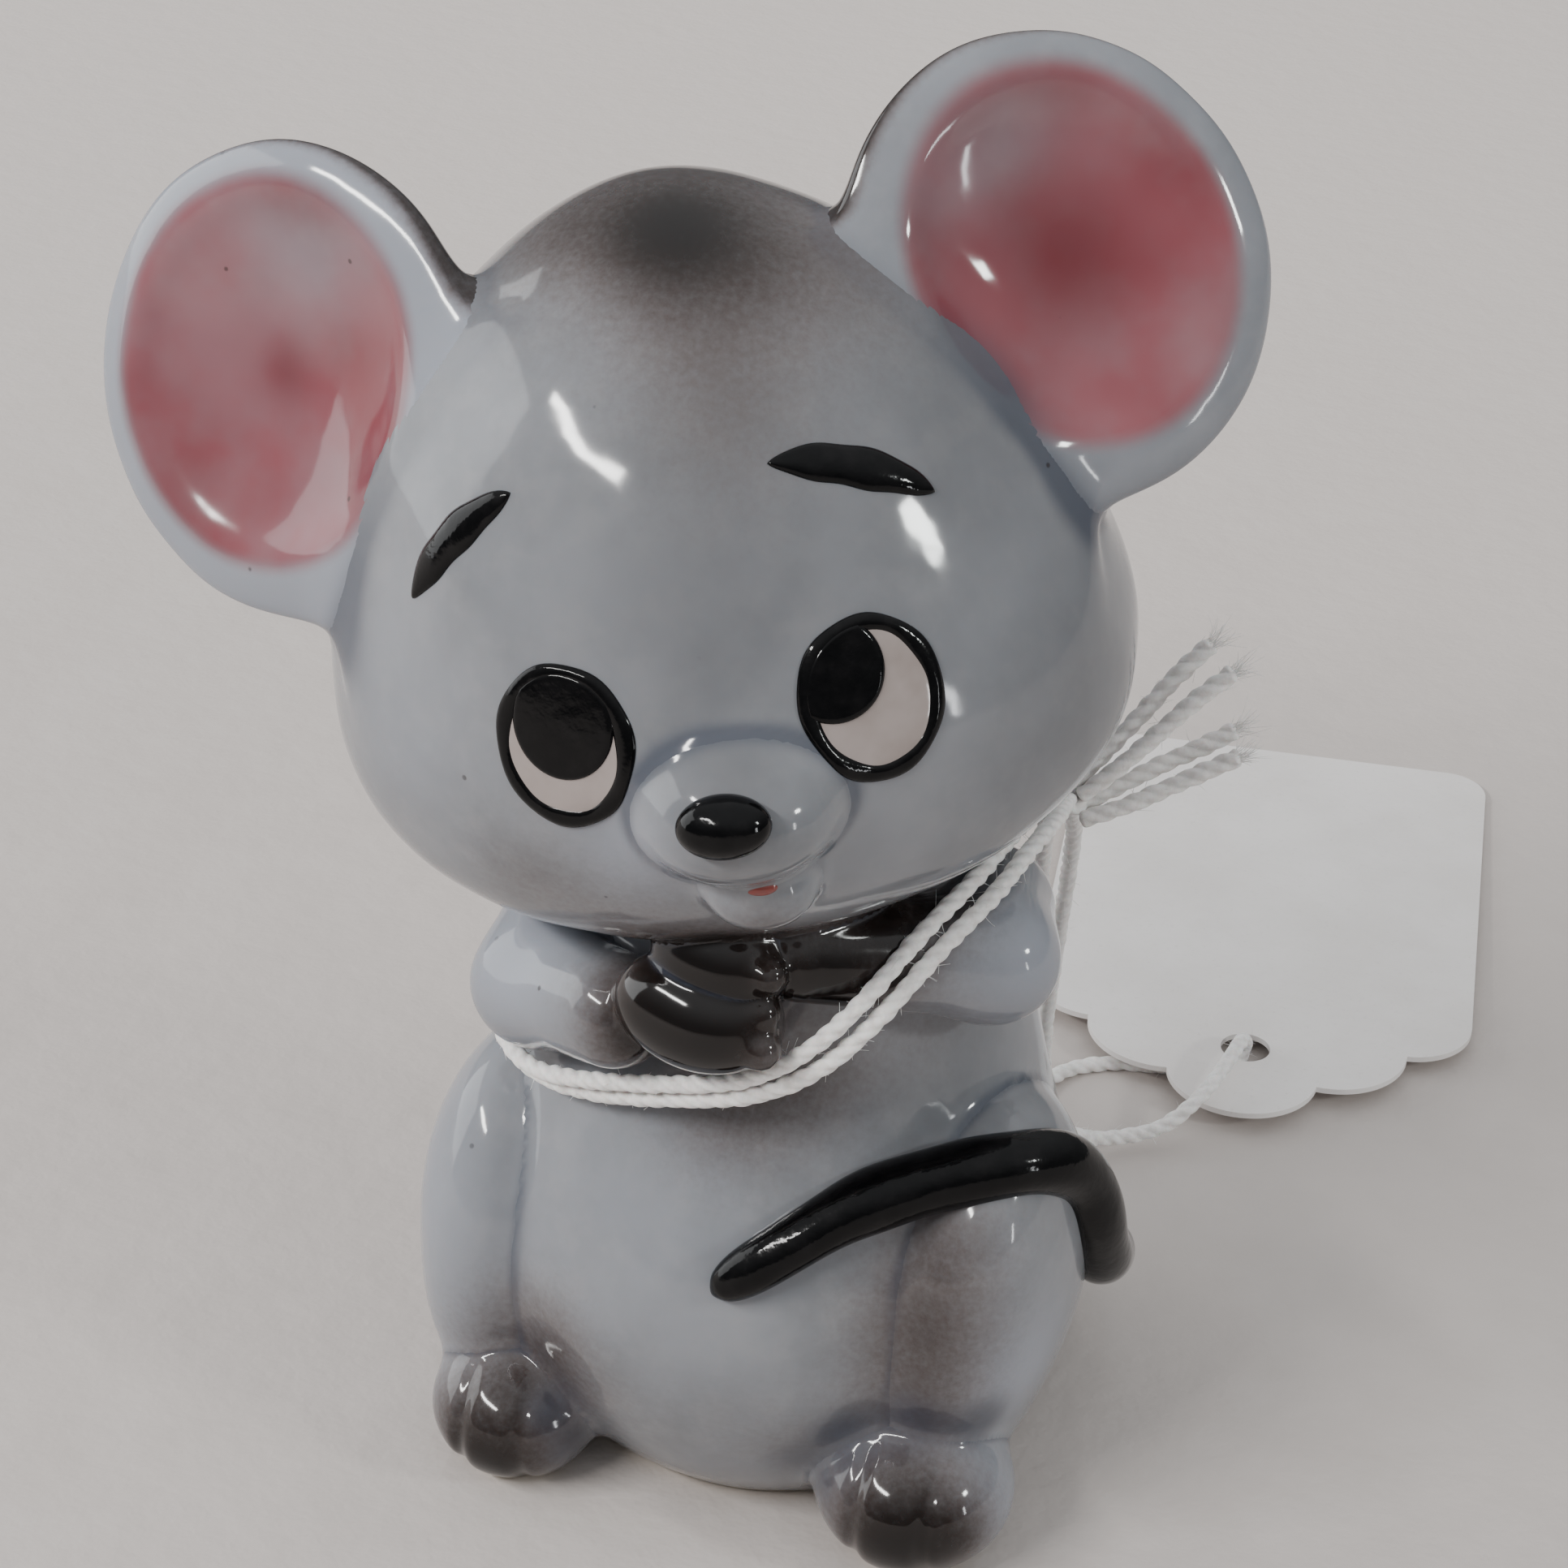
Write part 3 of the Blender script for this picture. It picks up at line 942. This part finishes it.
for name, form in clay.items():
    names = (name, *neighbours[name])
    start = form["start"]()
    flat = start.reshape(-1, 3)
    rings = settled(flat, outward(flat, form["field"]), diving(name, names))
    whole, own = skin_levels(rings, names)
    smoothed = (np.min(list(own.values()), axis=0) - whole) / form["blend"]
    pools = np.clip(smoothed * pool_gain - pool_loss, 0, 1) * (1 - sprayed(rings, thin_pools))
    values = {
        "pool": np.maximum(pools, sprayed(rings, deep_pools)), "brown": sprayed(rings, brown_sprays),
        "dusk": sprayed(rings, grey_sprays), "pale": sprayed(rings, pale_sprays),
        "pink": np.zeros(len(rings)), "rose": np.zeros(len(rings)),
        "bisque": risen(foot_edge - rings[:, 2], 0.25)}
    if name.startswith("ear_"):
        pink, back, out = ear_values(ears[name[4:]], rings)
        paleness, depth, spread = ear_tints[name[4:]]
        values["pink"] = pink
        values["pale"] = np.maximum(values["pale"], paleness * (1 - pink))
        values["rose"] = pink * (depth * np.exp(-(out / spread) ** 2) + 0.2 * np.exp(-(out / 0.6) ** 2))
        values["brown"] = 0.9 * back
    if name == "torso":
        off_vent = np.hypot(rings[:, 0], rings[:, 1] - vent_back)
        into = eased(risen(vent_radius - off_vent, 0.5))
        rings[:, 2] += np.where(rings[:, 2] < 0.5, vent_depth * into, 0)
    rings[:, 2] = np.maximum(rings[:, 2], 0)
    shape = start.shape[:2]
    piece = grid_shell(name + "_clay", rings.reshape(start.shape),
                       values={key: value.reshape(shape) for key, value in values.items()})
    finished(piece, grey_glaze, "grey_glaze", replaced_nodes.get(name, name))


# Enamel: whites, pupils, outlines and brows brushed on the fired glaze in thick black and white enamel,
# and fired again, so that each stands up a little with rounded edges.

face_names = ("head", "muzzle", "lip", "ear_left", "ear_right")
eye_width, eye_height, eye_line = 7.9, 9.0, 1.0
# each eye's place on the face in the head's frame, its pupil's shift and its pupil's size
eyes = {
    "left": ((10.75, 0.466), (-0.21, 0.23), (5.6, 5.7)), "right": ((-5.35, 0.458), (0.015, 0.15), (5.8, 6.3))}
pupil_inset = 0.4
brow_thickness, brow_bow = 2.2, 0.45
brow_ends = {"left": ((6.7, 0.755), (14.4, 0.659)), "right": ((-13.4, 0.604), (-6.8, 0.748))}
# how far each coat stands up, and how deep all lie under the glaze
white_coat, black_coat, pupil_coat, brow_coat, sunk = 0.16, 0.30, 0.34, 0.42, 0.12
dab_rounding = 0.14


def on_face(side, rise_share):
    """The plane that touches the head's front at a side place and a height share: origin, across, up, out."""
    z = rise_share * head_height
    square, ratio = head.rows_at(np.array([z]), head.square, head.ratio)
    depth = -np.sqrt((square[0] - side ** 2) / ratio[0])
    out = np.array((side / (head_width / 2) ** 2, depth / (head_depth / 2) ** 2,
                    (rise_share - head_widest) * head_height / (head_height / 2) ** 2))
    across = unit(np.array((-depth, side, 0.0)))
    out = unit(out - (out @ across) * across)
    up = np.cross(out, across)
    return in_head(side, depth, z), head_turn @ across, head_turn @ up, head_turn @ out


def face_level(points):
    """The glaze's level over the head, the muzzle, the lip and the ears."""
    return skin_levels(points, face_names)[0]


def laid_on(plane, flat, lifts):
    """Flat places in a touching plane cast along its outward way to the glaze, then raised by the lifts
    along the glaze's own outward way."""
    origin, across, up, out = plane
    shape = flat.shape[:2]
    spread = flat.reshape(-1, 2)
    points = origin + spread[:, :1] * across + spread[:, 1:] * up
    points = settled(points, np.broadcast_to(out, points.shape), face_level, 8)
    points += lifts.reshape(-1, 1) * outward(points, face_level)
    return points.reshape(*shape, 3)


def dab(name, plane, centre, edge, coat, rows=26):
    """A filled patch: places run from the centre to the edge and back, first just under the glaze, then
    over it, with the lift falling to the edge as a quarter circle."""
    out = np.linspace(0.03, 1, rows)
    share = np.concatenate([out, out[::-1]])[:, None, None]
    flat = np.array(centre) + share * edge[None]
    lift = coat * np.sqrt(np.clip(1 - ((out - 1) / dab_rounding + 1).clip(0) ** 2, 0, 1))
    lifts = np.concatenate([-sunk + 0 * out, lift[::-1]])[:, None] + 0 * flat[..., 0]
    return grid_shell(name, laid_on(plane, flat, lifts))


def brushed(name, plane, line, half, coat, closed=False):
    """A brushed stroke of varying half width. Across it the lift is half an ellipse above and flat below,
    and it thins as the root of the half width. It has two ends, or closes on itself at one thickness."""
    around = circle(20)
    way = unit(np.roll(line, -1, 0) - np.roll(line, 1, 0) if closed else np.gradient(line, axis=0))
    side = np.stack([way[:, 1], -way[:, 0]], -1)
    flat = line[:, None] + (half[:, None] * np.cos(around))[..., None] * side[:, None]
    thick = np.ones((len(line), 1)) if closed else np.sqrt(half / half.max())[:, None]
    lifts = np.where(np.sin(around) > 0, coat * thick * np.sin(around), sunk * np.sin(around))
    return grid_shell(name, laid_on(plane, flat, lifts), looped=closed)


black = Recipe("black_enamel")
black_tone = black.mottled(srgb(5, 5, 6), srgb(16, 15, 16), (700, 3.0, 0.6), 0.4, 0.8)
black_enamel = black.finish(
    Base_Color=black_tone, Roughness=black.ramp(black.noise(500), 0.3, 0.7, 0.06, 0.14),
    Specular_IOR_Level=0.2, Normal=black.bump(black.noise(900, 3.0), 0.22, 0.0002))
white = Recipe("white_glaze")
white_tone = white.mottled(srgb(158, 147, 143), srgb(138, 127, 122), (300, 3.0), 0.3, 0.75)
white_glaze = white.finish(
    Base_Color=white_tone, Roughness=0.1, IOR=1.52, Normal=white.bump(white.noise(600), 0.1, 0.0002))

for side, ((place, rise), shift, pupil_size) in eyes.items():
    plane = on_face(place, rise)
    around = circle(200)[0]
    ring = np.stack([np.cos(around), np.sin(around)], -1)
    inner = ring * (eye_width - eye_line, eye_height - eye_line) / 2
    finished(dab(f"eye_white_{side}_enamel", plane, (0, 0), inner, white_coat), white_glaze, "white_glaze",
             "eye_white_" + side)
    wobble = 1 + 0.10 * np.sin(3 * around + 0.7) + 0.08 * np.sin(7 * around + place)
    finished(brushed(f"eye_line_{side}_enamel", plane, inner, eye_line / 2 * wobble, black_coat, closed=True),
             black_enamel, "black_enamel", "eye_line_" + side)
    middle = np.array((shift[0] * eye_width, shift[1] * eye_height))
    edge = ring * np.array(pupil_size) / 2
    bound = np.array((eye_width, eye_height)) / 2 - pupil_inset
    reach = np.linalg.norm((middle + edge) / bound, axis=1, keepdims=True)
    edge = np.where(reach > 1, (middle + edge) / reach - middle, edge)
    finished(dab(f"pupil_{side}_enamel", plane, middle, edge, pupil_coat), black_enamel, "black_enamel",
             "pupil_" + side)

for side, (first, last) in brow_ends.items():
    first_place, last_place = on_face(*first)[0], on_face(*last)[0]
    middle = on_face((first[0] + last[0]) / 2, (first[1] + last[1]) / 2)
    across = unit(last_place - first_place)
    out = unit(middle[3] - (middle[3] @ across) * across)
    plane = ((first_place + last_place) / 2, across, np.cross(out, across), out)
    half_length = np.linalg.norm(last_place - first_place) / 2
    share = np.linspace(-1, 1, 90)
    line = np.stack([share * half_length, brow_bow * (1 - share ** 2)], -1)
    half = brow_thickness / 2 * np.clip(1 - np.abs(share) ** 2.4, 0.004, 1) ** 0.75
    half = half * (1 + 0.05 * np.sin(9 * share))
    finished(brushed(f"brow_{side}_enamel", plane, line, half, brow_coat), black_enamel, "black_enamel",
             "brow_" + side)


# Nose and mouth: a bead of black enamel on the muzzle, and a small dab of red on the lower lip. Both are
# eggs that are sunk about halfway into the glaze.

nose = Egg(in_head(3.42, -24.0, 16.6), (2.5, 1.7, 1.7), head_turn, pole=0)
finished(grid_shell("nose_bead", nose.start(60, 90)), black_enamel, "black_enamel", "nose")
red = Recipe("red_glaze")
red_tone = red.mottled(srgb(138, 62, 56), srgb(112, 66, 62), (900, 3.0), 0.35, 0.7)
red_glaze = red.finish(Base_Color=red_tone, Roughness=0.12, IOR=1.52)
mouth = Egg(in_head(4.0, -21.25, 11.2), (1.0, 0.55, 0.5), head_turn, pole=0)
finished(grid_shell("mouth_dab", mouth.start(30, 40)), red_glaze, "red_glaze", "mouth")


# Tail: a tapering roll of clay that leaves the body low behind, runs round the left flank and up over the
# belly, and is brushed with thick black glaze.

tail_radius, tail_tip = 1.9, 0.9
# place in millimetres, and share of the radius
tail_rows = (
    (-7.4, 8.6, 5.5, 1.00), (-0.6, 14.6, 5.7, 1.00), (9.15, 15.81, 6.34, 1.00),
    (15.66, 10.88, 8.26, 1.00), (19.36, 4.76, 11.52, 1.00), (20.33, -0.34, 15.36, 1.00),
    (20.24, -2.89, 19.97, 1.00), (19.18, -4.76, 24.0, 1.00),
    (16.37, -8.5, 26.04, 1.00), (12.5, -10.54, 25.15, 1.00), (8.8, -13.09, 23.88, 0.95),
    (5.46, -15.47, 21.58, 0.80), (2.64, -16.75, 19.2, 0.55), (2.02, -17.0, 18.62, 0.30))


def rolled(rows, count, columns):
    """A roll of clay: rings square to a spline through the rows' places, as wide as the rows say."""
    rows = np.array(rows)
    knots = travelled(rows[:, :3])
    fine = knots[-1] * (1 - np.cos(np.linspace(0.01, 0.99, count) * np.pi)) / 2
    x, y, z, share = (fair(knots, row, fine) for row in rows.T)
    end = risen(knots[-1] - fine, tail_tip)
    wide = tail_radius * share * np.sqrt(1 - (1 - end) ** 2) * (1 + 0.02 * np.sin(fine * 1.1))
    return ringed(np.stack([x, y, z], -1), wide[:, None], circle(columns))


finished(grid_shell("tail_roll", rolled(tail_rows, 420, 72)), black_enamel, "black_enamel", "tail")


# Tag: a stamped slip of blank white card with a scalloped end, strung through its hole. It is the solid's
# own node, with a card of its own, faintly clouded and flecked.

card = Recipe("white_card")
card_tone = card.mottled(srgb(236, 232, 230), srgb(226, 221, 218), (90, 4.0, 0.6), 0.3, 0.7)
card_tone = card.mottled(card_tone, srgb(206, 200, 196), (2400, 3.0, 0.7), 0.55, 0.8, 0.0, 0.4)
tag_material = card.finish(
    Base_Color=card_tone, Roughness=0.62, Normal=card.bump(card.noise(1500, 4.0, 0.65), 0.25, 0.00012))
tag_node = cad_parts["price_tag"]
tag_node.data.materials.clear()
tag_node.data.materials.append(tag_material)
